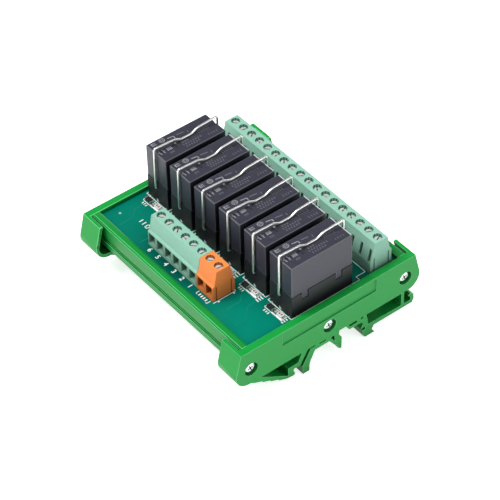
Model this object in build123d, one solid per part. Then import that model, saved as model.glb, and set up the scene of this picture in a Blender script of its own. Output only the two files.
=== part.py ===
from build123d import *
import os

# Relay module board on a rail carrier. Millimetres.
# X runs along the mounting rail, Y from the control side to the contact side, Z up from the feet.
# The origin is under the middle of the module, on the surface that its feet stand on.

# Circuit board and its height above the feet
board_top = 26.8
board_thickness = 1.6
board_end_margin = 1.16
board_side_margin = 4.0

# Carrier profile, an extrusion with a board groove along each side
board_end_gap = 0.2
carrier_side_wall = 1.65
lip_rise = 1.9
lip_reach = 3.5
groove_gap = 0.15
ledge_thickness = 1.5
carrier_wall = 1.9
carrier_floor_depth = 8.6
carrier_floor = 2.0
carrier_corner = 1.0
lip_corner = 0.6
lip_slope = 0.9
side_recess_top = 4.6
side_recess_height = 2.4
side_recess_depth = 0.8

# Side plates, moulded with a rim and a foot for a 35 mm rail
plate_wall = 3.15
plate_width = 11.25
plate_fit = 0.5
plate_side_lean = 4.1
plate_depth = 14.9
plate_corner_radius = 6.0
rim_wall = 1.8
label_half_length = 22.7
label_top = 1.0
label_height = 6.2
label_sink = 0.5
rail_width = 35.0
rail_lip = 1.0
rail_drop = 21.1
hook_slack = 0.3
hook_point = 0.7
foot_overlap = 1.0

# Screws through each side plate into the profile
side_screw_inset = 2.4
side_screw_depth = 7.7
centre_screw_depth = 9.4
side_screw_radius = 1.45
screw_channel_radius = 1.5
screw_clear_radius = 1.6
side_head_radius = 2.5
side_head_height = 1.3
counterbore_radius = 3.1
counterbore_depth = 2.1
side_screw_length = 8.8
screw_boss_wall = 1.1

# Screw terminals
pole_pitch = 5.08
terminal_height = 14.2
terminal_top_back = 3.3
terminal_top_front = 2.9
terminal_back = 5.5
terminal_front = 5.1
terminal_back_wall = 4.8
terminal_skirt = 0.7
terminal_skirt_reach = 0.1
ledge_height = 7.1
ledge_length = 1.0
ledge_slope = 0.6
end_groove_width = 0.6
end_groove_depth = 0.4
end_groove_back = 1.8
end_groove_front = 1.7
end_groove_top = 6.8
back_slot_shift = 1.1
back_slot_width = 1.3
back_slot_depth = 2.2
back_slot_bottom = 5.0
back_slot_height = 5.8
terminal_gap = 0.1
poles_per_relay = 3
front_poles = 6
orange_poles = 2
front_row_shift = -0.89
rear_row_gap = 8.55
front_row_gap = 3.35
screw_hole_radius = 1.85
terminal_screw_radius = 1.7
terminal_screw_sink = 1.2
terminal_slot = 0.6
terminal_slot_depth = 0.7
terminal_slot_turn = 35
clamp_width = 3.5
clamp_depth = 4.2
clamp_base = 1.5
clamp_height = 6.6
clamp_wall = 0.7
clamp_clearance = 0.1
entry_width = 3.6
entry_height = 5.0
terminal_pin = 1.0
pin_clearance = 0.05
pin_tail = 1.7

# Relays, their sockets and wire clips
relay_count = 6
relay_row_x = 0.2
relay_y = 0.2
relay_length = 29.0
relay_width = 12.7
relay_height = 14.9
relay_groove = 1.3
relay_groove_depth = 0.3
socket_height = 10.3
socket_end_wall = 0.15
socket_side_wall = 0.15
socket_corner = 5.05
notch_width = 3.0
notch_depth = 3.4
notch_clearance = 0.15
clip_radius = 0.5
clip_stand_off = 0.75
clip_grip = 1.8
clip_hole_half = 0.6
clip_hole_spare = 0.4
clip_hook_drop = 2.5
clip_bend = 0.9
clip_front_rise = 2.4
clip_back_rise = 2.9
clip_arch_rise = 2.0
clip_arch_length = 3.0
clip_contact_length = 5.4
contact_pin = 0.8
contact_row = 7.5
coil_place = -12.0
contact_places = (2.0, 7.0, 12.0)

# Screws, their holes and the clip wires have flat sides, so that the model stays light
side_screw_sides = 12
terminal_screw_sides = 10
wire_sides = 6

# Small parts on the board in front of each socket
small_part_clearance = 1.5
led_size = (3.2, 1.6, 1.3)
diode_size = (3.6, 1.8, 1.1)
resistor_size = (1.6, 0.8, 0.5)
small_part_gap = 0.35
small_part_start = -4.6

# Sizes and places worked out from the ones above, along Y
socket_length = relay_length + 2 * socket_end_wall
small_part_y = relay_y - socket_length / 2 - small_part_clearance - diode_size[1] / 2
front_y = small_part_y - diode_size[1] / 2 - front_row_gap - terminal_back
rear_y = relay_y + socket_length / 2 + rear_row_gap + terminal_back
board_half_width = rear_y + terminal_front + board_side_margin
carrier_half_width = board_half_width + groove_gap + carrier_side_wall
side_screw_offset = carrier_half_width - side_screw_inset
plate_top_half = carrier_half_width + plate_fit + rim_wall

# Along X
socket_width = relay_width + 2 * socket_side_wall
relay_pitch = poles_per_relay * pole_pitch
rear_poles = poles_per_relay * relay_count
board_length = rear_poles * pole_pitch + board_end_margin
rear_first_x = (pole_pitch - terminal_gap - board_length) / 2
front_first_x = front_row_shift - (front_poles + orange_poles - 1) / 2 * pole_pitch
inner_face = board_length / 2 + board_end_gap
outer_face = inner_face + plate_wall

# Along Z
plate_top = board_top + lip_rise
plate_bottom = board_top - plate_depth
floor_top = board_top - carrier_floor_depth
floor_bottom = floor_top - carrier_floor
board_bottom = board_top - board_thickness
clamp_bottom = board_top + clamp_base
clamp_top = clamp_bottom + clamp_height
socket_top = board_top + socket_height
relay_top = socket_top + relay_height


def prism(outline, start, end):
    """A straight piece along X from an outline of (y, z) points."""
    face = Plane.YZ.offset(start) * Polygon(*outline, align=None)
    return extrude(face, end - start, dir=(1, 0, 0))


def block(x_range, y_range, z_range):
    """A box between two values on each axis."""
    size = [high - low for low, high in (x_range, y_range, z_range)]
    middle = [(high + low) / 2 for low, high in (x_range, y_range, z_range)]
    return Pos(*middle) * Box(*size)


def bar_x(radius, start, end, y, z):
    """A bar along X with as many flat sides as the side screws."""
    section = Plane((start, y, z), x_dir=(0, 1, 0), z_dir=(1, 0, 0)) * RegularPolygon(radius, side_screw_sides)
    return extrude(section, end - start, dir=(1, 0, 0))


def upright(radius, x, y, start, end):
    """An upright bar with as many flat sides as the terminal screws."""
    section = Plane((x, y, start)) * RegularPolygon(radius, terminal_screw_sides)
    return extrude(section, end - start, dir=(0, 0, 1))


def below_board(points):
    """Turns (y, depth below the board's top) points into (y, z) points."""
    return [(y, board_top - depth) for y, depth in points]


def mirrored_y(points):
    return [(-y, z) for y, z in reversed(points)]


screw_places = [
    (-side_screw_offset, board_top - side_screw_depth),
    (0, board_top - centre_screw_depth),
    (side_screw_offset, board_top - side_screw_depth),
]


def carrier_profile():
    lip_inner = carrier_half_width - lip_reach
    recess_bottom = side_recess_top + side_recess_height
    column_inner = side_screw_offset - screw_channel_radius - screw_boss_wall
    boss_top = side_screw_depth - screw_channel_radius - screw_boss_wall
    groove_floor = board_thickness + groove_gap
    side = below_board([
        (column_inner, carrier_floor_depth + carrier_floor),
        (carrier_half_width - carrier_corner, carrier_floor_depth + carrier_floor),
        (carrier_half_width, carrier_floor_depth + carrier_floor - carrier_corner),
        (carrier_half_width, recess_bottom),
        (carrier_half_width - side_recess_depth, recess_bottom),
        (carrier_half_width - side_recess_depth, side_recess_top),
        (carrier_half_width, side_recess_top),
        (carrier_half_width, -lip_rise + lip_corner),
        (carrier_half_width - lip_corner, -lip_rise),
        (lip_inner + lip_slope, -lip_rise),
        (lip_inner, -lip_rise + lip_slope / 2),
        (lip_inner, -groove_gap),
        (board_half_width + groove_gap, -groove_gap),
        (board_half_width + groove_gap, groove_floor),
        (lip_inner, groove_floor),
        (lip_inner, groove_floor + ledge_thickness),
        (carrier_half_width - carrier_wall, groove_floor + ledge_thickness),
        (carrier_half_width - carrier_wall, boss_top),
        (column_inner, boss_top),
    ])
    start, end = -inner_face, inner_face
    body = prism(side, start, end) + prism(mirrored_y(side), start, end)
    body += block((start, end), (-column_inner, column_inner), (floor_bottom, floor_top))
    boss_radius = screw_channel_radius + screw_boss_wall
    body += bar_x(boss_radius, start, end, *screw_places[1])
    for y, z in screw_places:
        body -= bar_x(screw_channel_radius, start, end, y, z)
    return body


def plate_rim_outline():
    """The plate's outer outline: sides that lean out to round lower corners."""
    low_half = plate_top_half + plate_side_lean
    outline = Polygon(
        (-plate_top_half, plate_top),
        (-low_half, plate_bottom),
        (low_half, plate_bottom),
        (plate_top_half, plate_top),
        align=None,
    )
    lower_corners = outline.vertices().sort_by(Axis.Y)[:2]
    return fillet(lower_corners, plate_corner_radius)


# The foot's outlines are drawn for a 35 mm rail and a foot 11.9 mm high,
# as (y, drop below the plate's lower edge)
foot_across = rail_width / 35
foot_down = plate_bottom / 11.9
foot_root = -foot_overlap
rail_edge = rail_width / 2 / foot_across
rail_seat = (rail_drop - plate_depth) / foot_down
hook_drop = rail_seat + (rail_lip + hook_slack) / foot_down


def foot_outline(points):
    return [(y * foot_across, plate_bottom - drop * foot_down) for y, drop in points]


def lever():
    """The springy lever with its ribbed underside and the hook under the rail's edge."""
    teeth = 4
    start_y, start_drop = -36.2, 0.8
    end_y, end_drop = -21.0, 9.3
    ribs = []
    for tooth in range(teeth):
        for share, step in ((tooth / teeth, 0.35), ((tooth + 1) / teeth, -0.15)):
            ribs.append((start_y + (end_y - start_y) * share, start_drop + (end_drop - start_drop) * share + step))
    return [
        (-39.5, foot_root),
        (-38.0, 0),
        *ribs,
        (-rail_edge, 9.6),
        (-rail_edge + hook_point, 8.7),
        (-rail_edge, hook_drop),
        (-rail_edge, rail_seat),
        (-14.4, rail_seat),
        (-10.6, 0),
        (-10.6, foot_root),
    ]


lever_window = [(-33.3, 0), (-20.2, 8.1), (-20.2, 4.2), (-15.3, 4.2), (-13.4, 0)]

# The leg that stands inside the rail, the seat bar beside it and the middle prong
leg = [
    (-6.9, foot_root),
    (-6.9, 0.7),
    (-9.4, 0.7),
    (-13.3, 7.7),
    (-13.1, 11.9),
    (-10.0, 11.9),
    (-9.9, 8.7),
    (-9.4, 6.9),
    (-7.2, 2.6),
    (-0.2, 2.6),
    (2.9, 7.0),
    (3.6, 6.7),
    (4.4, 9.5),
    (5.7, 10.0),
    (5.9, 4.2),
    (4.5, 1.9),
    (4.8, foot_root),
]
seat_slot = [(-5.0, 0.4), (-5.0, 1.1), (-1.9, 1.1), (-1.9, 0.4)]
prong_window = [(0.5, 1.1), (2.4, 4.3), (2.3, 1.0)]

# The fixed foot behind the rail, its long strip and the end tab
fixed_foot = [
    (7.6, foot_root),
    (8.0, 0.3),
    (9.6, 2.6),
    (15.3, 2.8),
    (16.6, 3.6),
    (15.3, rail_seat),
    (rail_edge, rail_seat),
    (rail_edge, hook_drop),
    (16.2, hook_drop),
    (16.6, 10.7),
    (17.6, 11.9),
    (22.2, 11.9),
    (20.9, 9.7),
    (21.9, 8.0),
    (41.2, 8.0),
    (42.0, 6.1),
    (41.8, 3.8),
    (40.1, 2.4),
    (39.0, 3.5),
    (40.3, 4.4),
    (40.3, 6.3),
    (37.0, 6.3),
    (37.0, foot_root),
]
bar_slot = [(9.4, 0.1), (9.9, 1.3), (13.5, 1.3), (13.5, 0.1)]
arm_window = [(15.3, 0), (15.5, 1.6), (17.0, 0)]
strip_window = [(17.9, 0), (18.6, 2.9), (18.9, 5.8), (35.6, 6.3), (35.6, 0)]


def side_plate():
    """The plate at the +X end, from its outer face inwards."""
    rim_start = outer_face - plate_width
    outline = plate_rim_outline()
    shell = extrude(Plane.YZ.offset(rim_start) * outline, plate_width)
    hollow = [
        (-plate_top_half + rim_wall, plate_top + 1.0),
        (-plate_top_half - plate_side_lean + rim_wall, plate_bottom + rim_wall),
        (plate_top_half + plate_side_lean - rim_wall, plate_bottom + rim_wall),
        (plate_top_half - rim_wall, plate_top + 1.0),
    ]
    inside = Polygon(*hollow, align=None)
    low_inside = inside.vertices().sort_by(Axis.Y)[:2]
    inside = fillet(low_inside, plate_corner_radius - rim_wall)
    plate = shell - extrude(Plane.YZ.offset(rim_start - 1.0) * inside, plate_width - plate_wall + 1.0)
    for points in (lever(), leg, fixed_foot):
        plate += prism(foot_outline(points), rim_start, outer_face)
    for points in (lever_window, seat_slot, prong_window, bar_slot, arm_window, strip_window):
        plate -= prism(foot_outline(points), rim_start - 1, outer_face + 1)
    for y, z in screw_places:
        plate -= bar_x(screw_clear_radius, inner_face - 1.0, outer_face + 1.0, y, z)
        plate -= bar_x(counterbore_radius, outer_face - counterbore_depth, outer_face + 1.0, y, z)
    plate -= block(
        (outer_face - label_sink, outer_face + 1.0),
        (-label_half_length, label_half_length),
        (board_top + label_top - label_height, board_top + label_top),
    )
    return plate


def side_screws():
    """Three pan head screws in the counterbores of the +X plate."""
    screws = []
    seat = outer_face - counterbore_depth
    for y, z in screw_places:
        head = bar_x(side_head_radius, seat, seat + side_head_height, y, z)
        shank = bar_x(side_screw_radius, seat - side_screw_length, seat, y, z)
        screws.append(head + shank)
    return screws


def pole_places(count, first_x):
    return [first_x + pole_pitch * pole for pole in range(count)]


def terminal_housing(count, first_x, centre_y, wire_side):
    """A row of poles in one moulding. wire_side is +1 or -1 along Y."""
    start = first_x - pole_pitch / 2 + terminal_gap / 2
    end = first_x + pole_pitch * (count - 0.5) - terminal_gap / 2

    def side(distance):
        return centre_y + wire_side * distance

    outline = [
        (side(-terminal_back), board_top),
        (side(-terminal_back), board_top + terminal_back_wall),
        (side(-terminal_top_back), board_top + terminal_height),
        (side(terminal_top_front), board_top + terminal_height),
        (side(terminal_front - ledge_length), board_top + ledge_height + ledge_slope),
        (side(terminal_front - terminal_skirt_reach), board_top + ledge_height),
        (side(terminal_front - terminal_skirt_reach), board_top + terminal_skirt + terminal_skirt_reach),
        (side(terminal_front), board_top + terminal_skirt),
        (side(terminal_front), board_top),
    ]
    housing = prism(outline, start, end)
    cell_half = clamp_width / 2 + clamp_clearance
    cell_y = sorted((side(-clamp_depth / 2 - clamp_clearance), side(clamp_depth / 2 + clamp_clearance)))
    entry_y = sorted((side(0), side(terminal_front + 1)))
    slot_y = sorted((side(-terminal_back - 1), side(-terminal_back + back_slot_depth)))
    slot_z = (board_top + back_slot_bottom, board_top + back_slot_bottom + back_slot_height)
    for x in pole_places(count, first_x):
        housing -= block((x - cell_half, x + cell_half), cell_y, (board_top - 1, clamp_top + clamp_clearance))
        entry_x = (x - entry_width / 2, x + entry_width / 2)
        housing -= block(entry_x, entry_y, (clamp_bottom, clamp_bottom + entry_height))
        housing -= upright(screw_hole_radius, x, centre_y, clamp_top, board_top + terminal_height + 1)
        slot_x = x + wire_side * back_slot_shift
        housing -= block((slot_x - back_slot_width / 2, slot_x + back_slot_width / 2), slot_y, slot_z)
    groove_z = (board_top - 1, board_top + end_groove_top)
    for middle in (-terminal_back + end_groove_back, terminal_front - end_groove_front):
        groove_y = (side(middle) - end_groove_width / 2, side(middle) + end_groove_width / 2)
        housing -= block((start - 1, start + end_groove_depth), groove_y, groove_z)
        housing -= block((end - end_groove_depth, end + 1), groove_y, groove_z)
    return housing


def terminal_clamps(count, first_x, centre_y):
    """Wire cages, open along Y, one to a pole."""
    cages = []
    inner_half = clamp_width / 2 - clamp_wall
    for x in pole_places(count, first_x):
        cage = block(
            (x - clamp_width / 2, x + clamp_width / 2),
            (centre_y - clamp_depth / 2, centre_y + clamp_depth / 2),
            (clamp_bottom, clamp_top),
        )
        cage -= block(
            (x - inner_half, x + inner_half),
            (centre_y - clamp_depth, centre_y + clamp_depth),
            (clamp_bottom + clamp_wall, clamp_top - clamp_wall * 2),
        )
        cages.append(cage)
    return cages


def terminal_screws(count, first_x, centre_y):
    """Slotted clamping screws, standing on the cages."""
    top = board_top + terminal_height - terminal_screw_sink
    slot = Rot(0, 0, terminal_slot_turn) * Box(4 * terminal_screw_radius, terminal_slot, 2 * terminal_slot_depth)
    screws = []
    for x in pole_places(count, first_x):
        screw = upright(terminal_screw_radius, x, centre_y, clamp_top, top)
        screws.append(screw - Pos(x, centre_y, top) * slot)
    return screws


def terminal_pins(count, first_x, centre_y):
    """Solder pins from under each cage down through the board."""
    half = terminal_pin / 2
    return [
        block(
            (x - half, x + half),
            (centre_y - half, centre_y + half),
            (board_bottom - pin_tail, clamp_bottom),
        )
        for x in pole_places(count, first_x)
    ]


terminal_rows = {
    "rear": (rear_poles, rear_first_x, rear_y, 1),
    "front": (front_poles, front_first_x, front_y, -1),
    "orange": (orange_poles, front_first_x + pole_pitch * front_poles, front_y, -1),
}


def relay_x(number):
    return relay_row_x + (number - (relay_count - 1) / 2) * relay_pitch


def notch_ranges(clearance):
    """The two gaps in each socket's upper edge that the relay's base fills."""
    inner = socket_length / 2 - socket_corner
    low, high = inner - notch_width + clearance, inner - clearance
    return [(relay_y - high, relay_y - low), (relay_y + low, relay_y + high)]


def contact_places_of(number):
    """Two coil pins side by side and three contact pins in line."""
    x = relay_x(number)
    coil = [(x + side * contact_row / 2, relay_y + coil_place) for side in (-1, 1)]
    return coil + [(x + contact_row / 2, relay_y + place) for place in contact_places]


def relay_socket(number):
    x = relay_x(number)
    half = socket_width / 2
    ends = (relay_y - socket_length / 2, relay_y + socket_length / 2)
    socket = block((x - half, x + half), ends, (board_top, socket_top))
    for y_range in notch_ranges(0):
        socket -= block((x - half - 1, x + half + 1), y_range, (socket_top - notch_depth, socket_top + 1))
    hole_z = socket_top - clip_hook_drop
    for end in ends:
        socket -= block(
            (x - clip_hole_half, x + clip_hole_half),
            (end - clip_grip, end + clip_grip),
            (hole_z - clip_hole_half, hole_z + clip_hole_half),
        )
    return socket


def relay_case(number):
    """A sealed relay: one solid with base feet that drop into the socket's notches."""
    x = relay_x(number)
    half = relay_width / 2
    ends = (relay_y - relay_length / 2, relay_y + relay_length / 2)
    case = block((x - half, x + half), ends, (socket_top, relay_top))
    for y_range in notch_ranges(notch_clearance):
        foot_bottom = socket_top - notch_depth + notch_clearance
        case += block((x - half, x + half), y_range, (foot_bottom, socket_top))
    for end in (-1, 1):
        groove_middle = relay_y + end * relay_length / 2
        groove = Box(relay_groove, 2 * relay_groove_depth, relay_height + 2)
        case -= Pos(x, groove_middle, (socket_top + relay_top) / 2) * groove
    return case


def relay_contacts(number):
    """The socket's solder tails, from its underside down through the board."""
    half = contact_pin / 2
    return [
        block((x - half, x + half), (y - half, y + half), (board_bottom - pin_tail, board_top))
        for x, y in contact_places_of(number)
    ]


def eased(before, corner, after):
    """Two points in place of a sharp corner."""
    towards = [(Vector(*end) - Vector(*corner)).normalized() for end in (before, after)]
    return [Vector(*corner) + direction * clip_bend for direction in towards]


def retaining_clip(number):
    """A bent wire over the relay, hooked into a hole in each end of the socket."""
    x = relay_x(number)
    reach = socket_length / 2 + clip_stand_off
    hook_reach = socket_length / 2 - clip_grip + clip_hole_spare
    low = socket_top - clip_hook_drop
    front_low = (x, relay_y - reach, low)
    back_low = (x, relay_y + reach, low)
    front_corner = (x, relay_y - reach, relay_top + clip_front_rise)
    back_corner = (x, relay_y + reach, relay_top + clip_back_rise)
    contact_half = clip_contact_length / 2
    over_top = [
        (x, relay_y - contact_half - clip_arch_length, relay_top + clip_arch_rise),
        (x, relay_y - contact_half, relay_top + clip_radius),
        (x, relay_y + contact_half, relay_top + clip_radius),
        (x, relay_y + contact_half + clip_arch_length, relay_top + clip_arch_rise),
    ]
    path = Polyline(
        (x, relay_y - hook_reach, low),
        front_low,
        *eased(front_low, front_corner, over_top[0]),
        *over_top,
        *eased(over_top[-1], back_corner, back_low),
        back_low,
        (x, relay_y + hook_reach, low),
    )
    section = Plane(origin=path @ 0, x_dir=(1, 0, 0), z_dir=path % 0) * RegularPolygon(clip_radius, wire_sides)
    return sweep(section, path=path, transition=Transition.RIGHT)


def circuit_board():
    board = block(
        (-board_length / 2, board_length / 2),
        (-board_half_width, board_half_width),
        (board_bottom, board_top),
    )
    holes = []
    for count, first_x, centre_y, _ in terminal_rows.values():
        holes += [(x, centre_y, terminal_pin) for x in pole_places(count, first_x)]
    for number in range(relay_count):
        holes += [(x, y, contact_pin) for x, y in contact_places_of(number)]
    for x, y, pin in holes:
        half = pin / 2 + pin_clearance
        board -= block((x - half, x + half), (y - half, y + half), (board_bottom - 1, board_top + 1))
    return board


def small_parts(size, place):
    """One flat part in front of each socket, in its place along X."""
    length, depth, height = size
    return [
        Pos(relay_x(number) + place, small_part_y, board_top + height / 2) * Box(length, depth, height)
        for number in range(relay_count)
    ]


def group(pieces):
    """Separate solids that belong to one node."""
    return Compound([solid for piece in pieces for solid in piece.solids()])


def build():
    plate = side_plate()
    screws = side_screws()
    nodes = {
        "carrier_profile": carrier_profile(),
        "side_plate_right": plate,
        "side_plate_left": mirror(plate, Plane.YZ),
        "side_screws_right": group(screws),
        "side_screws_left": group([mirror(screw, Plane.YZ) for screw in screws]),
        "circuit_board": circuit_board(),
    }
    for name, (count, first_x, centre_y, wire_side) in terminal_rows.items():
        nodes[f"{name}_terminal_housing"] = terminal_housing(count, first_x, centre_y, wire_side)
        nodes[f"{name}_terminal_clamps"] = group(terminal_clamps(count, first_x, centre_y))
        nodes[f"{name}_terminal_screws"] = group(terminal_screws(count, first_x, centre_y))
        nodes[f"{name}_terminal_pins"] = group(terminal_pins(count, first_x, centre_y))
    for number in range(relay_count):
        label = number + 1
        nodes[f"relay_socket_{label}"] = relay_socket(number)
        nodes[f"relay_{label}"] = relay_case(number)
        nodes[f"relay_contacts_{label}"] = group(relay_contacts(number))
        nodes[f"retaining_clip_{label}"] = retaining_clip(number)
    first = small_part_start + diode_size[0] / 2
    second = first + diode_size[0] / 2 + small_part_gap + resistor_size[0] / 2
    third = second + resistor_size[0] / 2 + small_part_gap + led_size[0] / 2
    nodes["diodes"] = group(small_parts(diode_size, first))
    nodes["resistors"] = group(small_parts(resistor_size, second))
    nodes["status_lamps"] = group(small_parts(led_size, third))
    return nodes


os.makedirs("parts", exist_ok=True)
for node_name, shape in build().items():
    export_step(shape, f"parts/{node_name}.step")
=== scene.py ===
import math

import bmesh
import bpy
from mathutils import Matrix, Vector


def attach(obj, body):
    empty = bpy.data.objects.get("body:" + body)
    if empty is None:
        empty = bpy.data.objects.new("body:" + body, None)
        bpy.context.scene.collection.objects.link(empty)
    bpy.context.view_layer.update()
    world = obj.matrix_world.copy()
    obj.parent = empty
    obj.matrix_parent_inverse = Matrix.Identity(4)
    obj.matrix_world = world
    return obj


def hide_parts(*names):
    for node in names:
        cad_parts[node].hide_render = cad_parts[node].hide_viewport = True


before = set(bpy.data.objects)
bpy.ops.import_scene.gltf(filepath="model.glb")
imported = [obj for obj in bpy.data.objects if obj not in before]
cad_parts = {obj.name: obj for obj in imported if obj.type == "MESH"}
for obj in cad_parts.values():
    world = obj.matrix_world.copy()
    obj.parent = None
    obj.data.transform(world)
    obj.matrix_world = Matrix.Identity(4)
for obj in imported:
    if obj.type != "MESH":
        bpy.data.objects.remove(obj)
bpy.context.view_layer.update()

# Sizes in millimetres, in the CAD model's frame
MM = 0.001
board_top = 26.8
pole_pitch = 5.08
rear_poles = 18
front_poles = 6
orange_poles = 2
terminal_height = 14.2
screw_sink = 1.2
screw_radius = 1.7
clamp_top = 8.1
socket_height = 10.3
relay_height = 14.9
relay_count = 6
relay_pitch = 15.24
relay_row_x = 0.2
relay_y = 0.2
socket_length = 29.3
relay_top = board_top + socket_height + relay_height
socket_top = board_top + socket_height
rear_first_x = -43.81
rear_y = 28.9
front_first_x = -18.67
front_y = -26.6
small_part_y = -16.85
ink_height = 0.06


def point(x, y, z):
    return Vector((x, y, z)) * MM


def relay_x(number):
    return relay_row_x + (number - (relay_count - 1) / 2) * relay_pitch


# Materials
# Reach and samples of the shade painted into crevices
crevice_reach = 10
crevice_samples = 8
gloss_below = 0.06
gloss_above = 0.08
relief_depth = 0.05
mottle_detail = 4.0
grain_detail = 2.0
streak_smooth = 0.7
streak_rough = 1.4


def plain_links(material):
    nodes = material.node_tree.nodes
    return nodes, material.node_tree.links, nodes["Principled BSDF"]


def darken_crevices(material, colour, strength):
    """Paints shade into the colour where other surfaces stand close by."""
    nodes, links, shader = plain_links(material)
    shade = nodes.new("ShaderNodeAmbientOcclusion")
    shade.samples = crevice_samples
    shade.inputs["Distance"].default_value = crevice_reach * MM
    deepened = nodes.new("ShaderNodeMix")
    deepened.data_type = "RGBA"
    deepened.inputs["Factor"].default_value = strength
    links.new(colour, shade.inputs["Color"])
    links.new(colour, deepened.inputs["A"])
    links.new(shade.outputs["Color"], deepened.inputs["B"])
    links.new(deepened.outputs["Result"], shader.inputs["Base Color"])


def moulded(
    name, colour, rough, spread=0.08, mottle=260.0, grain=2600.0,
    bump=0.12, metal=0.0, shine=0.5, crevice_shade=0.0,
):
    """Plastic, metal or paint whose colour, gloss and surface vary a little, with painted shade in its
    crevices if asked.
    """
    material = bpy.data.materials.new(name)
    material.use_nodes = True
    nodes, links, shader = plain_links(material)
    place = nodes.new("ShaderNodeTexCoord")
    cloud = nodes.new("ShaderNodeTexNoise")
    cloud.inputs["Scale"].default_value = mottle
    cloud.inputs["Detail"].default_value = mottle_detail
    tint = nodes.new("ShaderNodeMix")
    tint.data_type = "RGBA"
    tint.inputs["A"].default_value = [channel * (1 - spread) for channel in colour] + [1]
    tint.inputs["B"].default_value = [min(channel * (1 + spread), 1) for channel in colour] + [1]
    fine = nodes.new("ShaderNodeTexNoise")
    fine.inputs["Scale"].default_value = grain
    fine.inputs["Detail"].default_value = grain_detail
    gloss = nodes.new("ShaderNodeMapRange")
    gloss.inputs["To Min"].default_value = max(rough - gloss_below, 0.02)
    gloss.inputs["To Max"].default_value = min(rough + gloss_above, 1)
    relief = nodes.new("ShaderNodeBump")
    relief.inputs["Strength"].default_value = bump
    relief.inputs["Distance"].default_value = relief_depth * MM
    links.new(place.outputs["Object"], cloud.inputs["Vector"])
    links.new(place.outputs["Object"], fine.inputs["Vector"])
    links.new(cloud.outputs["Fac"], tint.inputs["Factor"])
    links.new(tint.outputs["Result"], shader.inputs["Base Color"])
    if crevice_shade:
        darken_crevices(material, tint.outputs["Result"], crevice_shade)
    links.new(cloud.outputs["Fac"], gloss.inputs["Value"])
    links.new(gloss.outputs["Result"], shader.inputs["Roughness"])
    links.new(fine.outputs["Fac"], relief.inputs["Height"])
    links.new(relief.outputs["Normal"], shader.inputs["Normal"])
    shader.inputs["Metallic"].default_value = metal
    shader.inputs["Specular IOR Level"].default_value = shine
    return material


def brushed(name, colour, rough, stretch=(1, 1, 12), scale=900.0):
    """Drawn or turned metal with fine streaks."""
    material = moulded(name, colour, rough, spread=0.12, bump=0.05, metal=1.0)
    nodes, links, shader = plain_links(material)
    place = nodes.new("ShaderNodeTexCoord")
    mapping = nodes.new("ShaderNodeMapping")
    mapping.inputs["Scale"].default_value = stretch
    streak = nodes.new("ShaderNodeTexNoise")
    streak.inputs["Scale"].default_value = scale
    gloss = nodes.new("ShaderNodeMapRange")
    gloss.inputs["To Min"].default_value = rough * streak_smooth
    gloss.inputs["To Max"].default_value = rough * streak_rough
    links.new(place.outputs["Object"], mapping.inputs["Vector"])
    links.new(mapping.outputs["Vector"], streak.inputs["Vector"])
    links.new(streak.outputs["Fac"], gloss.inputs["Value"])
    links.new(gloss.outputs["Result"], shader.inputs["Roughness"])
    return material


plate_green = moulded("plate green", (0.004, 0.330, 0.046), 0.42, shine=0.28, crevice_shade=0.7)
# Lighter colours for bevelled edges, which are painted highlights
green_edge_highlight = moulded("green edge highlight", (0.12, 0.64, 0.22), 0.38, shine=0.5)
black_edge_highlight = moulded("black edge highlight", (0.11, 0.11, 0.125), 0.4)
# Pale grey for the relays' rear upper edges, which is a painted highlight
rear_edge_highlight = moulded("lit rear edge", (0.52, 0.54, 0.54), 0.4)
carrier_green = moulded("carrier green", (0.003, 0.275, 0.038), 0.42, mottle=180, shine=0.28, crevice_shade=0.7)
board_teal = moulded(
    "board solder mask", (0.0, 0.205, 0.140), 0.32, spread=0.14, mottle=90, shine=0.08, crevice_shade=0.6
)
mint = moulded("terminal mint", (0.285, 0.555, 0.43), 0.45, spread=0.10, mottle=800, shine=0.3, crevice_shade=0.6)
orange = moulded(
    "terminal orange", (0.98, 0.27, 0.062), 0.42, spread=0.06, mottle=500, shine=0.3, crevice_shade=0.7
)
relay_black = moulded(
    "relay case", (0.031, 0.032, 0.052), 0.42, spread=0.35, mottle=900, grain=3000, bump=0.35, crevice_shade=0.9
)
socket_black = moulded("relay socket", (0.012, 0.015, 0.018), 0.5, spread=0.15, shine=0.35, crevice_shade=0.9)
part_black = moulded("small part resin", (0.02, 0.02, 0.022), 0.45)
lamp_white = moulded("lamp resin", (0.85, 0.83, 0.80), 0.35, spread=0.03)
lamp_red = moulded("lamp mark", (0.20, 0.09, 0.09), 0.35)
ink_white = moulded("white ink", (0.82, 0.85, 0.83), 0.6, spread=0.05, bump=0.05)
pale_mark = moulded("pale mark", (0.25, 0.62, 0.52), 0.5)
print_grey = moulded("grey print", (0.34, 0.34, 0.37), 0.55, spread=0.3, mottle=1500)
print_faint = moulded("faint print", (0.12, 0.12, 0.14), 0.5, spread=0.3, mottle=1500)


def shade_board(material, middle, reach, strength):
    """Paints a soft dark oval on the board, which stands for the shade round the front terminals."""
    nodes, links, shader = plain_links(material)
    place = nodes.new("ShaderNodeTexCoord")
    mapping = nodes.new("ShaderNodeMapping")
    mapping.vector_type = "TEXTURE"
    mapping.inputs["Location"].default_value = point(*middle)
    mapping.inputs["Scale"].default_value = point(*reach)
    ball = nodes.new("ShaderNodeTexGradient")
    ball.gradient_type = "QUADRATIC_SPHERE"
    amount = nodes.new("ShaderNodeMath")
    amount.operation = "MULTIPLY"
    amount.inputs[1].default_value = strength
    dark = nodes.new("ShaderNodeMix")
    dark.data_type = "RGBA"
    dark.blend_type = "MULTIPLY"
    dark.inputs["B"].default_value = (0.1, 0.25, 0.3, 1)
    colour = shader.inputs["Base Color"].links[0].from_socket
    links.new(place.outputs["Object"], mapping.inputs["Vector"])
    links.new(mapping.outputs["Vector"], ball.inputs["Vector"])
    links.new(ball.outputs["Fac"], amount.inputs[0])
    links.new(amount.outputs[0], dark.inputs["Factor"])
    links.new(colour, dark.inputs["A"])
    links.new(dark.outputs["Result"], shader.inputs["Base Color"])


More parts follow.
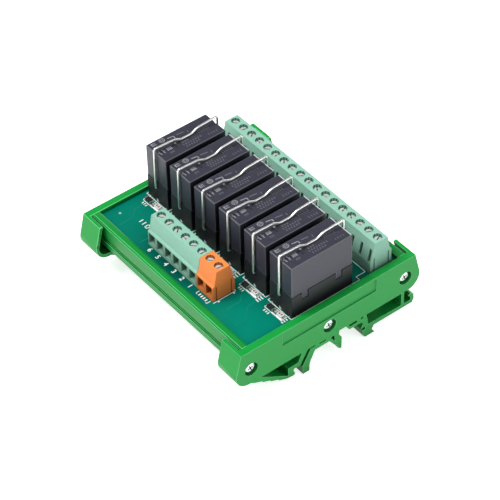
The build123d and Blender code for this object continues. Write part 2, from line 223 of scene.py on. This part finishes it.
shade_board(board_teal, (-6, -31, board_top), (34, 13, 10), 1.0)
trace_teal = moulded("trace under the mask", (0.005, 0.225, 0.156), 0.32, spread=0.1, shine=0.1)
solder = brushed("solder", (0.70, 0.71, 0.70), 0.35)
dark_resin = moulded("diode resin", (0.012, 0.012, 0.014), 0.5)
ceramic = moulded("ceramic body", (0.42, 0.40, 0.36), 0.5, spread=0.05)
# Near-black, which is painted shade at the bottoms of slots, cross recesses and pits
painted_hole_shade = moulded("hole shade", (0.01, 0.02, 0.015), 0.8)
zinc = brushed("zinc screw", (0.78, 0.79, 0.80), 0.30)
nickel = brushed("clamp nickel", (0.62, 0.66, 0.63), 0.32)
screw_steel = moulded("terminal screw", (0.72, 0.78, 0.75), 0.30, spread=0.15, mottle=1500, metal=0.35)
# Dark copies of the mint and the orange, which are painted shade on the walls of the screw holes
mint_shade = moulded("shaded mint", (0.030, 0.130, 0.090), 0.6, shine=0.1)
orange_shade = moulded("shaded orange", (0.33, 0.06, 0.015), 0.6, shine=0.1)
wire_steel = brushed("spring wire", (0.93, 0.92, 0.89), 0.34, stretch=(1, 8, 1))
tin = brushed("tinned copper", (0.74, 0.74, 0.72), 0.35)

node_looks = {
    "carrier_profile": carrier_green,
    "side_plate": plate_green,
    "side_screws": zinc,
    "circuit_board": board_teal,
    "rear_terminal_housing": mint,
    "front_terminal_housing": mint,
    "orange_terminal_housing": orange,
    "relay_socket": socket_black,
    "relay_contacts": tin,
    "relay": relay_black,
    "retaining_clip": wire_steel,
    "diodes": part_black,
    "resistors": part_black,
    "status_lamps": lamp_white,
}


def look_of(name):
    if name.endswith("_clamps"):
        return nickel
    if name.endswith("_pins"):
        return tin
    if name.endswith("_terminal_screws"):
        return screw_steel
    starts = sorted((start for start in node_looks if name.startswith(start)), key=len)
    return node_looks[starts[-1]]


sharp_angle = 35
plate_round = 0.3
carrier_round = 0.2
relay_round = 0.3
fine_round = 0.15


def round_edges(thing, width, look=None):
    """Softens a hard piece's edges, so that they catch the light.

    The edges get a lighter look of their own if one is given, which is a painted highlight.
    """
    weld = thing.modifiers.new("weld", "WELD")
    weld.merge_threshold = 1e-6
    bevel = thing.modifiers.new("bevel", "BEVEL")
    bevel.width = width * MM
    bevel.segments = 2
    bevel.limit_method = "ANGLE"
    bevel.angle_limit = math.radians(sharp_angle)
    bevel.use_clamp_overlap = True
    if look:
        thing.data.materials.append(look)
        bevel.material = len(thing.data.materials) - 1


for name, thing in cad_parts.items():
    for place in thing.material_slots:
        place.material = look_of(name)
for name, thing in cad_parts.items():
    if name.startswith("side_plate"):
        round_edges(thing, plate_round, green_edge_highlight)
    elif name == "carrier_profile":
        round_edges(thing, carrier_round, green_edge_highlight)
    elif name.startswith("relay_socket"):
        round_edges(thing, fine_round)
    elif name.startswith("relay_") and not name.startswith("relay_contacts"):
        round_edges(thing, relay_round, black_edge_highlight)
    elif name.endswith("_housing"):
        round_edges(thing, fine_round)


# Pieces

def finish_piece(name, shape, material, slot, *replaced, smooth=False):
    """Turns a bmesh into an object that rides on the CAD body."""
    mesh = bpy.data.meshes.new(name)
    shape.to_mesh(mesh)
    shape.free()
    mesh.materials.append(material)
    if smooth:
        for face in mesh.polygons:
            face.use_smooth = True
    thing = bpy.data.objects.new(name, mesh)
    bpy.context.scene.collection.objects.link(thing)
    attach(thing, "root")
    if replaced:
        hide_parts(*replaced)
    return thing


box_sides = ((3, 2, 1, 0), (4, 5, 6, 7), (0, 1, 5, 4), (1, 2, 6, 5), (2, 3, 7, 6), (3, 0, 4, 7))


def close_box(shape, corners):
    """The six faces on eight corners, of which the lower four come first."""
    for side in box_sides:
        shape.faces.new([corners[index] for index in side])


def ring_angles(sides):
    return [2 * math.pi * step / sides for step in range(sides)]


def join_rings(shape, first, second):
    """A band of faces between two rings of points."""
    for step in range(len(first)):
        after = (step + 1) % len(first)
        shape.faces.new((first[step], first[after], second[after], second[step]))


def add_box(shape, low, high):
    """A box between two corners, in millimetres."""
    corners = [
        shape.verts.new(point(x, y, z))
        for z in (low[2], high[2])
        for x, y in ((low[0], low[1]), (high[0], low[1]), (high[0], high[1]), (low[0], high[1]))
    ]
    close_box(shape, corners)


def add_stroke(shape, start, end, width, z):
    """A thin raised line from start to end, such as print."""
    run = Vector(end) - Vector(start)
    across = Vector((-run.y, run.x)).normalized() * width / 2
    flat = [Vector(start) - across, Vector(end) - across, Vector(end) + across, Vector(start) + across]
    top = [shape.verts.new(point(p.x, p.y, z + ink_height)) for p in flat]
    low = [shape.verts.new(point(p.x, p.y, z)) for p in flat]
    shape.faces.new(top)
    join_rings(shape, low, top)


def add_turned(shape, origin, axis, profile, sides=24):
    """A turned piece from (radius, height) points, along an axis from origin."""
    turn = Vector((0, 0, 1)).rotation_difference(Vector(axis)).to_matrix()
    rings = []
    for radius, height in profile:
        ring = []
        for angle in ring_angles(sides):
            local = Vector((radius * math.cos(angle), radius * math.sin(angle), height))
            ring.append(shape.verts.new((Vector(origin) + turn @ local) * MM))
        rings.append(ring)
    for low, high in zip(rings, rings[1:]):
        join_rings(shape, low, high)
    shape.faces.new(list(reversed(rings[0])))
    shape.faces.new(rings[-1])


def add_ring(shape, centre, outer, inner, low, high, sides=24):
    """A thin upright sleeve round a point given as x and y, from one height to another."""
    rings = []
    for radius, z in ((outer, low), (outer, high), (inner, high), (inner, low)):
        ring = []
        for angle in ring_angles(sides):
            x = centre[0] + radius * math.cos(angle)
            y = centre[1] + radius * math.sin(angle)
            ring.append(shape.verts.new(point(x, y, z)))
        rings.append(ring)
    for ring, on in zip(rings, rings[1:] + rings[:1]):
        join_rings(shape, ring, on)


def cut_boxes(thing, boxes):
    """Cuts turned boxes out of a piece, each given as its middle, size and turn."""
    cutter_shape = bmesh.new()
    for middle, size, turn in boxes:
        corners = []
        for z in (-1, 1):
            for x, y in ((-1, -1), (1, -1), (1, 1), (-1, 1)):
                local = Vector((x * size[0] / 2, y * size[1] / 2, z * size[2] / 2))
                corners.append(cutter_shape.verts.new((Vector(middle) + turn @ local) * MM))
        close_box(cutter_shape, corners)
    cutter_mesh = bpy.data.meshes.new("cutter")
    cutter_shape.to_mesh(cutter_mesh)
    cutter_shape.free()
    cutter = bpy.data.objects.new("cutter", cutter_mesh)
    bpy.context.scene.collection.objects.link(cutter)
    cut = thing.modifiers.new("cut", "BOOLEAN")
    cut.object = cutter
    cut.operation = "DIFFERENCE"
    cut.solver = "EXACT"
    bpy.context.view_layer.update()
    ready = thing.evaluated_get(bpy.context.evaluated_depsgraph_get())
    result = bpy.data.meshes.new_from_object(ready)
    thing.modifiers.remove(cut)
    old = thing.data
    thing.data = result
    bpy.data.meshes.remove(old)
    bpy.data.objects.remove(cutter)
    bpy.data.meshes.remove(cutter_mesh)


# Terminal screws with a slot in each head
terminal_rows = {
    "rear": (rear_poles, rear_first_x, rear_y),
    "front": (front_poles, front_first_x, front_y),
    "orange": (orange_poles, front_first_x + front_poles * pole_pitch, front_y),
}
screw_top = board_top + terminal_height - screw_sink
screw_tip_radius = 1.2
screw_tip_length = 1.2
screw_shoulder = 1.6
screw_rounding = 0.25
slot_size = (5, 0.55, 1.4)
first_slot_turn = 35
slot_turn_step = 47
slot_floor_half = 0.9
slot_floor_low = 0.75
slot_floor_high = 0.65
hole_radius = 1.85
shade_sleeve_wall = 0.05
shade_sleeve_below = 0.3
shade_sleeve_above = 1.0
floor_shape = bmesh.new()
for row, (count, first_x, centre_y) in terminal_rows.items():
    shape = bmesh.new()
    shade_sleeve = bmesh.new()
    slots = []
    for pole in range(count):
        x = first_x + pole * pole_pitch
        low = board_top + clamp_top
        head = [
            (screw_tip_radius, 0),
            (screw_tip_radius, screw_tip_length),
            (screw_radius, screw_shoulder),
            (screw_radius, screw_top - low - screw_rounding),
            (screw_radius - screw_rounding, screw_top - low),
        ]
        add_turned(shape, (x, centre_y, low), (0, 0, 1), head)
        turn = Matrix.Rotation(math.radians(first_slot_turn + slot_turn_step * pole), 3, "Z")
        slots.append(((x, centre_y, screw_top), slot_size, turn))
        # A thin dark sleeve on the wall of each screw hole, which is painted shade
        add_ring(
            shade_sleeve, (x, centre_y), hole_radius, hole_radius - shade_sleeve_wall,
            screw_top - shade_sleeve_below, screw_top + shade_sleeve_above,
        )
        # A dark box below each slot, which is painted shade at the slot's bottom
        add_box(
            floor_shape,
            (x - slot_floor_half, centre_y - slot_floor_half, screw_top - slot_floor_low),
            (x + slot_floor_half, centre_y + slot_floor_half, screw_top - slot_floor_high),
        )
    screws = finish_piece(
        f"{row}_slotted_screws", shape, screw_steel, "zinc_steel", f"{row}_terminal_screws"
    )
    cut_boxes(screws, slots)
    shade = orange_shade if row == "orange" else mint_shade
    finish_piece(f"{row}_hole_shade_sleeves", shade_sleeve, shade, "terminal_mint")
finish_piece("slot_shade_floors", floor_shape, painted_hole_shade, "zinc_steel")

# Pan head screws with a cross recess
outer_face = 49.65
counterbore_depth = 2.1
screw_seat = outer_face - counterbore_depth
side_screw_places = ((-37.4, 7.7), (0, 9.4), (37.4, 7.7))
pan_head = [(1.45, -8.8), (1.45, 0), (2.5, 0), (2.5, 0.55), (2.3, 0.95), (1.8, 1.2), (1.1, 1.3)]
head_height = 1.3
cross_turns = (20, 110)
cross_size = (1.6, 2.6, 0.55)
cross_floor = [(1.25, 0.5), (1.25, 0.6)]
cross_floor_shape = bmesh.new()
for side, node in ((1, "side_screws_right"), (-1, "side_screws_left")):
    shape = bmesh.new()
    crosses = {angle: [] for angle in cross_turns}
    for y, drop in side_screw_places:
        origin = (side * screw_seat, y, board_top - drop)
        add_turned(shape, origin, (side, 0, 0), pan_head)
        # A dark disc below each cross recess, which is painted shade at its bottom
        add_turned(cross_floor_shape, origin, (side, 0, 0), cross_floor)
        for angle in cross_turns:
            turn = Matrix.Rotation(math.radians(angle), 3, "X")
            head_middle = (side * (screw_seat + head_height), y, board_top - drop)
            crosses[angle].append((head_middle, cross_size, turn))
    screws = finish_piece(f"{node}_crossed", shape, zinc, "zinc_steel", node)
    for boxes in crosses.values():
        cut_boxes(screws, boxes)
finish_piece("cross_shade_floors", cross_floor_shape, painted_hole_shade, "zinc_steel")


# Wire clips
longest_share = 0.45


def rounded_path(corners, radius, steps=6):
    """Points along straight runs whose corners are rounded, by less than half a run."""
    path = [Vector(corners[0])]
    for before, corner, after in zip(corners, corners[1:], corners[2:]):
        corner = Vector(corner)
        back = Vector(before) - corner
        on = Vector(after) - corner
        reach = min(radius, back.length * longest_share, on.length * longest_share)
        start = corner + back.normalized() * reach
        end = corner + on.normalized() * reach
        for step in range(steps + 1):
            share = step / steps
            path.append(start * (1 - share) ** 2 + corner * 2 * share * (1 - share) + end * share ** 2)
    path.append(Vector(corners[-1]))
    return path


def add_tube(shape, path, radius, side_axis, sides=12):
    """A round wire along points that lie in one plane, with side_axis square to that plane."""
    rings = []
    for index, middle in enumerate(path):
        ahead = path[min(index + 1, len(path) - 1)] - path[max(index - 1, 0)]
        up = Vector(side_axis).cross(ahead).normalized()
        ring = []
        for angle in ring_angles(sides):
            offset = Vector(side_axis) * math.cos(angle) + up * math.sin(angle)
            ring.append(shape.verts.new((middle + offset * radius) * MM))
        rings.append(ring)
    for low, high in zip(rings, rings[1:]):
        join_rings(shape, low, high)
    shape.faces.new(list(reversed(rings[0])))
    shape.faces.new(rings[-1])


wire_radius = 0.47
wire_bend = 1.0
contact_half = 2.7
contact_rise = 0.5
shoulder_half = 5.7
shoulder_rise = 2.0
front_rise = 2.5
front_lean = 0.25
back_rise = 2.6
stand_off = 0.75
hook_inset = 1.4
hook_drop = 2.5
clip_reach = socket_length / 2 + stand_off
hook_reach = socket_length / 2 - hook_inset
hook_z = socket_top - hook_drop
for number in range(relay_count):
    x = relay_x(number)
    corners = [
        (x, relay_y - hook_reach, hook_z),
        (x, relay_y - clip_reach, hook_z),
        (x, relay_y - clip_reach + front_lean, relay_top + front_rise),
        (x, relay_y - shoulder_half, relay_top + shoulder_rise),
        (x, relay_y - contact_half, relay_top + contact_rise),
        (x, relay_y + contact_half, relay_top + contact_rise),
        (x, relay_y + shoulder_half, relay_top + shoulder_rise),
        (x, relay_y + clip_reach, relay_top + back_rise),
        (x, relay_y + clip_reach, hook_z),
        (x, relay_y + hook_reach, hook_z),
    ]
    shape = bmesh.new()
    add_tube(shape, rounded_path(corners, wire_bend), wire_radius, (1, 0, 0))
    finish_piece(
        f"clip_wire_{number + 1}", shape, wire_steel, "spring_steel",
        f"retaining_clip_{number + 1}", smooth=True,
    )


# Small parts on the board: a diode, a resistor and a lamp in front of each socket
body_lift = 0.05
cap_share = 0.94


def chip(shape, x, y, size, ends, end_shape):
    """A flat part with a metal cap on each end."""
    length, depth, height = size
    body = length / 2 - ends
    add_box(
        shape,
        (x - body, y - depth / 2, board_top + body_lift),
        (x + body, y + depth / 2, board_top + height),
    )
    for side in (-1, 1):
        x_range = sorted((x + side * body, x + side * length / 2))
        add_box(
            end_shape,
            (x_range[0], y - depth / 2, board_top),
            (x_range[1], y + depth / 2, board_top + height * cap_share),
        )


diode_at = -2.8
resistor_at = 0.15
lamp_at = 2.9
diode_size = (3.6, 1.8, 1.1)
resistor_size = (1.6, 0.8, 0.5)
lamp_size = (3.2, 1.6, 1.3)
diode_cap = 0.35
small_cap = 0.3
mark_apart = 0.55
mark_half_width = 0.35
mark_half_depth = 0.45
mark_top = 1.36
diode_shape = bmesh.new()
resistor_shape = bmesh.new()
lamp_shape = bmesh.new()
mark_shape = bmesh.new()
cap_shape = bmesh.new()
for number in range(relay_count):
    x = relay_x(number)
    chip(diode_shape, x + diode_at, small_part_y, diode_size, diode_cap, cap_shape)
    chip(resistor_shape, x + resistor_at, small_part_y, resistor_size, small_cap, cap_shape)
    chip(lamp_shape, x + lamp_at, small_part_y, lamp_size, small_cap, cap_shape)
    for side in (-1, 1):
        middle_x = x + lamp_at + side * mark_apart
        add_box(
            mark_shape,
            (middle_x - mark_half_width, small_part_y - mark_half_depth, board_top + lamp_size[2]),
            (middle_x + mark_half_width, small_part_y + mark_half_depth, board_top + mark_top),
        )
finish_piece("diode_bodies", diode_shape, dark_resin, "part_black", "diodes")
finish_piece("resistor_bodies", resistor_shape, ceramic, "part_black", "resistors")
finish_piece("lamp_bodies", lamp_shape, lamp_white, "lamp_white", "status_lamps")
finish_piece("lamp_marks", mark_shape, lamp_red, "lamp_white")
finish_piece("small_part_caps", cap_shape, solder, "pin_tin")


# Print on the board, as x and y in millimetres: outlines, brackets and plain bars
def stroke_run(shape, points, width=0.28):
    for start, end in zip(points, points[1:]):
        add_stroke(shape, start, end, width, board_top)


shape = bmesh.new()
socket_front = relay_y - socket_length / 2
line_gap = 0.5
line_y = socket_front - line_gap
for number in range(relay_count):
    x = relay_x(number)
    left = x - 6.95
    right = x + 6.75
    stroke_run(shape, [(left, -13.0), (left, line_y), (right, line_y), (right, 18.2)], 0.3)
    rear_outline = [(right, 18.2), (x + 4.7, 18.2), (x + 4.7, 22.7), (x - 5.0, 22.7), (x - 5.0, 18.2)]
    stroke_run(shape, rear_outline, 0.3)
    for side in (-5, 5):
        stroke_run(shape, [(x + side, line_y), (x + side, socket_front)], 0.4)
    # Frame round the diode and resistor, with a bar on each side of the resistor, a white field under
    # the lamp, then bars at the lamp's right end and in front of the frame
    stroke_run(shape, [(x - 4.95, line_y), (x - 4.95, -18.25), (x + 1.1, -18.25)])
    stroke_run(shape, [(x - 1.0, -17.95), (x + 0.9, -17.95)], 0.4)
    stroke_run(shape, [(x - 1.0, -15.75), (x + 0.9, -15.75)], 0.35)
    stroke_run(shape, [(x + 1.1, small_part_y), (x + 4.9, small_part_y)], 2.9)
    for bar_y in (-16.2, -17.3, -18.4):
        bar_end = x + 6.9 if number < relay_count - 1 else x + 6.2
        stroke_run(shape, [(x + 5.2, bar_y), (bar_end, bar_y)], 0.5)
    for bar_x in (-3.6, -2.5, -1.4):
        stroke_run(shape, [(x + bar_x, -18.8), (x + bar_x, -19.9)], 0.45)
# Brackets, bars and small marks by the front terminals
stroke_run(shape, [(11.45, -32.0), (11.45, -33.6), (12.1, -33.6)])
stroke_run(shape, [(18.4, -32.0), (18.4, -33.9), (17.7, -33.9)])
for bar_x in (13.0, 14.3, 15.6, 16.9):
    stroke_run(shape, [(bar_x, -32.4), (bar_x, -33.7)], 0.55)
stroke_run(shape, [(20.0, -32.0), (20.0, -21.4), (18.8, -21.4)])
for bar_y in (-29.8, -22.6):
    stroke_run(shape, [(20.4, bar_y - 0.4), (20.4, bar_y + 0.4)], 0.8)
for bar_x in (-33.5, -31.6):
    stroke_run(shape, [(bar_x, -27.0), (bar_x, -25.0)], 0.5)
small_ring = [(-29.9, -25.2), (-28.6, -25.2), (-28.6, -27.0), (-29.9, -27.0), (-29.9, -25.2)]
stroke_run(shape, small_ring, 0.45)
finish_piece("board_print", shape, ink_white, "lamp_white")

shape = bmesh.new()
add_turned(shape, (-42.3, -29.8, board_top), (0, 0, 1), [(0.55, 0), (0.5, ink_height)])
finish_piece("board_via", shape, pale_mark, "pin_tin")

# A small white mark at the foot of each socket
shape = bmesh.new()
for number in range(relay_count):
    x = relay_x(number) - 0.2
    face_y = socket_front - ink_height
    outline = [(x - 0.7, 1.3), (x - 0.5, 0.2), (x + 0.7, 0.5)]
    front = [shape.verts.new(point(px, face_y, board_top + pz)) for px, pz in outline]
    rear = [shape.verts.new(point(px, socket_front, board_top + pz)) for px, pz in outline]
    shape.faces.new(front)
    join_rings(shape, rear, front)
finish_piece("socket_marks", shape, ink_white, "lamp_white")

# Copper runs that show faintly through the solder mask
run_width = 0.5
run_sink = 0.03
shape = bmesh.new()
for points in (
    [(29.3, -19.6), (29.3, -23.0), (34.0, -27.7), (34.0, -33.0)],
    [(-40.5, -19.0), (-40.5, -24.0), (-37.0, -27.5), (-37.0, -34.0)],
    [(22.5, -20.5), (25.5, -23.5), (25.5, -30.0)],
    [(-24.0, -20.0), (-24.0, -33.5)],
):
    for start, end in zip(points, points[1:]):
        add_stroke(shape, start, end, run_width, board_top - run_sink)
finish_piece("copper_runs", shape, trace_teal, "board_teal")


# Plain bars and dashes on top of the relays, in millimetres from the relay's middle
ring_steps = 12


def dash(target, x, start, end, width):
    """A printed dash on the relay at x, from start to end measured from the relay's middle."""
    first = (x + start[0], relay_y + start[1])
    last = (x + end[0], relay_y + end[1])
    add_stroke(target, first, last, width, relay_top)


shape = bmesh.new()
faint = bmesh.new()
pit = bmesh.new()
for number in range(relay_count):
    x = relay_x(number)
    # Left of the wire: a barred block, a ring with bars in it, a bent line and two faint dashes
    dash(shape, x, (-5.4, -13.0), (-3.7, -13.0), 0.3)
    for row_y in (-12.6, -12.0, -11.4):
        dash(shape, x, (-5.3, row_y), (-4.7, row_y), 0.3)
        dash(shape, x, (-4.3, row_y), (-3.7, row_y), 0.3)
    for step in range(ring_steps):
        turns = [step * math.pi / 6, (step + 1) * math.pi / 6]
        rim = [(-4.55 + 1.05 * math.cos(turn), -8.2 + 1.15 * math.sin(turn)) for turn in turns]
        dash(shape, x, rim[0], rim[1], 0.25)
    for row_y in (-8.6, -7.8):
        dash(shape, x, (-5.1, row_y), (-4.0, row_y), 0.25)
    dash(shape, x, (-4.1, -5.9), (-3.7, -3.2), 0.35)
    dash(shape, x, (-3.7, -3.2), (-2.5, -3.3), 0.35)
    dash(faint, x, (-3.6, -1.9), (-3.2, 1.3), 0.5)
    dash(faint, x, (-3.1, 2.9), (-1.9, 2.7), 0.4)
    # Right of the wire: two lines with a tick on each, a barred block, a small square, bars and dark dots,
    # which are painted shade in small pits
    for row_y in (-13.2, -11.6):
        dash(shape, x, (-0.1, row_y), (2.2, row_y + 0.2), 0.3)
    dash(shape, x, (0.8, -13.8), (0.8, -13.2), 0.3)
    dash(shape, x, (0.9, -11.6), (0.9, -10.8), 0.3)
    for row_y in (-9.7, -9.1, -8.5, -7.9):
        dash(shape, x, (0.2, row_y), (1.9, row_y + 0.1), 0.32)
    dash(shape, x, (-0.35, -5.0), (0.35, -5.2), 0.75)
    for row_y in (-9.6, -8.9, -8.2):
        dash(faint, x, (2.9, row_y), (3.9, row_y), 0.35)
    for place in ((0.5, -6.3), (1.3, -5.9), (2.2, -5.7), (1.0, -3.9)):
        dash(pit, x, (place[0] - 0.35, place[1]), (place[0] + 0.35, place[1]), 0.7)
    # Columns of small bars towards the rear
    for column, first, count in ((1.5, -2.6, 3), (2.9, -3.2, 8), (4.3, -2.6, 6)):
        for step in range(count):
            low = first + step * 1.15
            dash(faint, x, (column - 0.45, low), (column + 0.45, low + 0.1), 0.45)
    for step in range(6):
        low = 5.6 + step * 0.9
        dash(faint, x, (-0.2, low), (1.3, low + 0.1), 0.3)
    for step in range(4):
        low = 8.2 + step * 1.2
        dash(faint, x, (3.6, low), (4.6, low), 0.35)
finish_piece("relay_pit_shades", pit, painted_hole_shade, "relay_black")

# Pale strips, which are painted highlights on the rear upper edge of all relays but the first
edge_half = 6.1
edge_y = relay_y + 14.05
edge_width = 0.4
rear_edge = bmesh.new()
for number in range(1, relay_count):
    x = relay_x(number)
    add_stroke(rear_edge, (x - edge_half, edge_y), (x + edge_half, edge_y), edge_width, relay_top)
finish_piece("relay_rear_edge_highlights", rear_edge, rear_edge_highlight, "relay_black")
finish_piece("relay_print", shape, print_grey, "relay_black")
finish_piece("relay_faint_print", faint, print_faint, "relay_black")

# Digits beside the control terminals
digit_size = 3.0
digit_swell = 0.05
digit_shift = 0.4
digit_y = -33.2
for pole in range(front_poles):
    number = front_poles - pole
    curve = bpy.data.curves.new(f"digit_curve_{number}", "FONT")
    curve.body = str(number)
    curve.size = digit_size * MM
    curve.offset = digit_swell * MM
    curve.align_x = "CENTER"
    curve.align_y = "CENTER"
    curve.extrude = ink_height * MM / 2
    maker = bpy.data.objects.new("digit_maker", curve)
    bpy.context.scene.collection.objects.link(maker)
    bpy.context.view_layer.update()
    mesh = bpy.data.meshes.new_from_object(maker.evaluated_get(bpy.context.evaluated_depsgraph_get()))
    bpy.data.objects.remove(maker)
    digit_x = front_first_x + pole * pole_pitch + digit_shift
    mesh.transform(Matrix.Translation(point(digit_x, digit_y, board_top + ink_height / 2)))
    mesh.materials.clear()
    mesh.materials.append(ink_white)
    digit = bpy.data.objects.new(f"pole_digit_{number}", mesh)
    bpy.context.scene.collection.objects.link(digit)
    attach(digit, "root")


# Stage, light and camera, with the floor and the lamps in metres
floor_glow = 0.72
floor_half = 3
floor_drop = 0.0002
sky_strength = 0.27
sensor_width = 36


def stage_material():
    """White for what sees it directly or as a mirror, and a soft shadow where the object stands."""
    material = bpy.data.materials.new("pale floor")
    material.use_nodes = True
    nodes, links, shader = plain_links(material)
    shader.inputs["Base Color"].default_value = (0.86, 0.86, 0.86, 1)
    shader.inputs["Roughness"].default_value = 0.9
    rays = nodes.new("ShaderNodeLightPath")
    seen = nodes.new("ShaderNodeMath")
    seen.operation = "MAXIMUM"
    both = nodes.new("ShaderNodeMath")
    both.operation = "MAXIMUM"
    strength = nodes.new("ShaderNodeMath")
    strength.operation = "MULTIPLY"
    strength.inputs[1].default_value = floor_glow
    shader.inputs["Emission Color"].default_value = (1, 1, 1, 1)
    links.new(rays.outputs["Is Camera Ray"], seen.inputs[0])
    links.new(rays.outputs["Is Glossy Ray"], seen.inputs[1])
    links.new(seen.outputs[0], both.inputs[0])
    links.new(rays.outputs["Is Transmission Ray"], both.inputs[1])
    links.new(both.outputs[0], strength.inputs[0])
    links.new(strength.outputs[0], shader.inputs["Emission Strength"])
    return material


floor_shape = bmesh.new()
for x, y in ((-1, -1), (1, -1), (1, 1), (-1, 1)):
    floor_shape.verts.new((x * floor_half, y * floor_half, -floor_drop))
floor_shape.faces.new(floor_shape.verts[:])
floor_mesh = bpy.data.meshes.new("floor")
floor_shape.to_mesh(floor_mesh)
floor_shape.free()
floor_mesh.materials.append(stage_material())
floor = bpy.data.objects.new("floor", floor_mesh)
bpy.context.scene.collection.objects.link(floor)

world = bpy.data.worlds.new("studio")
bpy.context.scene.world = world
world.use_nodes = True
sky = world.node_tree.nodes["Background"]
sky.inputs["Color"].default_value = (1, 1, 1, 1)
sky.inputs["Strength"].default_value = sky_strength


def softbox(name, place, aim, width, power):
    lamp = bpy.data.lights.new(name, "AREA")
    lamp.shape = "SQUARE"
    lamp.size = width
    lamp.energy = power
    thing = bpy.data.objects.new(name, lamp)
    thing.location = place
    thing.rotation_euler = (Vector(aim) - Vector(place)).to_track_quat("-Z", "Y").to_euler()
    bpy.context.scene.collection.objects.link(thing)


middle = (0.0, 0.0, 0.03)
softbox("key", (-0.15, -0.42, 0.92), middle, 0.4, 9.2)
softbox("fill", (0.75, 0.05, 0.5), middle, 0.6, 2.1)
softbox("edge", (0.62, 0.40, 0.55), middle, 0.2, 0.7)
softbox("rear edge", (-0.52, 0.70, 0.22), middle, 0.3, 0.9)

azimuth = math.radians(52.817)
elevation = math.radians(43.896)
roll = math.radians(-1.595)
distance = 0.869948
focal_pixels = 2284.64
picture_width = 500
aim = point(7.564, -4.718, 28.571)
back = Vector((
    math.sin(azimuth) * math.cos(elevation),
    -math.cos(azimuth) * math.cos(elevation),
    math.sin(elevation),
))
level_right = Vector((math.cos(azimuth), math.sin(azimuth), 0))
level_up = back.cross(level_right)
right = level_right * math.cos(roll) + level_up * math.sin(roll)
up = level_up * math.cos(roll) - level_right * math.sin(roll)
camera_data = bpy.data.cameras.new("camera")
camera_data.sensor_width = sensor_width
camera_data.lens = focal_pixels / picture_width * sensor_width
camera = bpy.data.objects.new("camera", camera_data)
turn = Matrix((right, up, back)).transposed().to_4x4()
camera.matrix_world = Matrix.Translation(aim + back * distance) @ turn
bpy.context.scene.collection.objects.link(camera)
bpy.context.scene.camera = camera
bpy.context.scene.view_settings.view_transform = "Standard"
